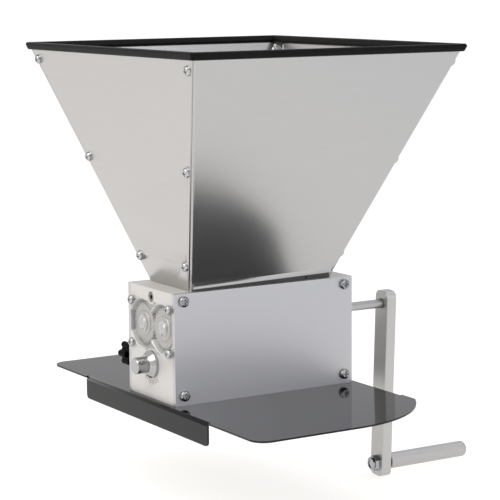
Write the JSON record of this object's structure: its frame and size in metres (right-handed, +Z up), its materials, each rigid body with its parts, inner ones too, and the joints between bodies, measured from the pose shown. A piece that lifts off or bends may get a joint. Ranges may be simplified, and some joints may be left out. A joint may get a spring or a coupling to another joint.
{
  "type": "grain mill",
  "caption": "Hand-cranked roller grain mill: flared sheet-metal hopper with a rubber-edged rim over a block housing on a flanged base plate, with side crank, meshed gears and gap dials.",
  "frame": {"origin": "middle of the base plate's underside, the face that rests on a bucket's rim; the flanges and the hanging crank reach below it", "axes": "+X along the rollers towards the crank, +Y from the front cover to the rear cover, +Z up"},
  "size_m": [0.3721, 0.369, 0.4021],
  "materials": {
    "black_gloss": "gloss powder coat",
    "steel_screws": "bright zinc and stainless",
    "blasted_aluminium": "bead blasted and clear anodised",
    "cover_plate": "satin",
    "bronze": "sintered bronze",
    "machined_steel": "machined and knurled",
    "clear_plastic": "clear polycarbonate",
    "black_rubber": "satin rubber",
    "hopper_sheet": "satin stainless sheet",
    "gear_steel": "machined",
    "satin_aluminium": "satin",
    "black_plastic": "moulded",
    "turned_steel": "bright turned",
    "brass_tip": "turned"
  },
  "bodies": {
    "housing": {"base_plate": "black_gloss", "base_screws": "steel_screws", "left_end_block": "blasted_aluminium", "right_end_block": "blasted_aluminium", "front_cover": "cover_plate", "front_cover_screws": "steel_screws", "rear_cover": "cover_plate", "rear_cover_screws": "steel_screws", "left_roller_bushes": "bronze", "right_roller_bushes": "bronze", "tie_bar": "machined_steel", "tie_bar_screws": "steel_screws", "gear_cover": "clear_plastic", "gear_cover_screws": "steel_screws", "hopper_seal": "black_rubber", "hopper_seat_screws": "steel_screws", "hopper_left_panel": "hopper_sheet", "hopper_right_panel": "hopper_sheet", "hopper_front_panel": "hopper_sheet", "hopper_rear_panel": "hopper_sheet", "hopper_panel_screws": "steel_screws", "hopper_panel_nuts": "steel_screws", "hopper_rim_trim": "black_rubber"},
    "drive_roller": {"drive_roller": "machined_steel", "drive_gear": "gear_steel", "drive_gear_key": "machined_steel", "drive_gear_ring": "steel_screws", "crank_arm": "satin_aluminium", "crank_washer": "steel_screws", "crank_screw": "steel_screws", "grip_bolt": "steel_screws", "grip_nut": "steel_screws", "grip_washer": "black_plastic"},
    "crank_grip": {"crank_grip": "satin_aluminium"},
    "driven_roller": {"driven_roller": "machined_steel", "driven_gear": "gear_steel", "driven_gear_key": "machined_steel", "driven_gear_ring": "steel_screws"},
    "left_adjuster": {"left_gap_adjuster": "turned_steel", "left_adjuster_bush": "bronze"},
    "right_adjuster": {"right_gap_adjuster": "turned_steel", "right_adjuster_bush": "bronze"},
    "idle_roller": {"idle_roller": "machined_steel"},
    "left_lock_pad": {"left_lock_pad": "brass_tip"},
    "left_lock_knob": {"left_lock_knob": "black_plastic", "left_lock_stud": "steel_screws"},
    "right_lock_pad": {"right_lock_pad": "brass_tip"},
    "right_lock_knob": {"right_lock_knob": "black_plastic", "right_lock_stud": "steel_screws"}
  },
  "joints": [
    {"name": "crank_spin", "type": "hinge", "parent": "housing", "child": "drive_roller", "pos_m": [0, -0.0175, 0.0645], "axis": [1, 0, 0], "continuous": true},
    {"name": "driven_roller_spin", "type": "hinge", "parent": "housing", "child": "driven_roller", "pos_m": [0, 0.0175, 0.0645], "axis": [1, 0, 0], "continuous": true},
    {"name": "grip_spin", "type": "hinge", "parent": "drive_roller", "child": "crank_grip", "pos_m": [0.195, -0.01039, -0.08633], "axis": [1, 0, 0], "continuous": true},
    {"name": "left_gap_dial", "type": "hinge", "parent": "housing", "child": "left_adjuster", "pos_m": [-0.0775, 0, 0.0315], "axis": [1, 0, 0], "range_deg": [-40, 40]},
    {"name": "right_gap_dial", "type": "hinge", "parent": "housing", "child": "right_adjuster", "pos_m": [0.0775, 0, 0.0315], "axis": [1, 0, 0], "range_deg": [-40, 40]},
    {"name": "idle_roller_spin", "type": "hinge", "parent": "left_adjuster", "child": "idle_roller", "pos_m": [0, -0.0015, 0.0315], "axis": [1, 0, 0], "continuous": true},
    {"name": "left_lock_travel", "type": "slide", "parent": "housing", "child": "left_lock_pad", "axis": [0, 1, 0], "range_m": [0, 0.0021]},
    {"name": "left_lock_turn", "type": "hinge", "parent": "left_lock_pad", "child": "left_lock_knob", "pos_m": [-0.08, 0.05, 0.0315], "axis": [0, 1, 0], "range_deg": [0, 720]},
    {"name": "right_lock_travel", "type": "slide", "parent": "housing", "child": "right_lock_pad", "axis": [0, 1, 0], "range_m": [0, 0.0021]},
    {"name": "right_lock_turn", "type": "hinge", "parent": "right_lock_pad", "child": "right_lock_knob", "pos_m": [0.08, 0.05, 0.0315], "axis": [0, 1, 0], "range_deg": [0, 720]}
  ],
  "couplings": [
    {"joint": "driven_roller_spin", "follows": "crank_spin", "ratio": -1},
    {"joint": "right_gap_dial", "follows": "left_gap_dial", "ratio": 1},
    {"joint": "left_lock_travel", "follows": "left_lock_turn", "m_per_rad": 0.00015915},
    {"joint": "right_lock_travel", "follows": "right_lock_turn", "m_per_rad": 0.00015915}
  ]
}
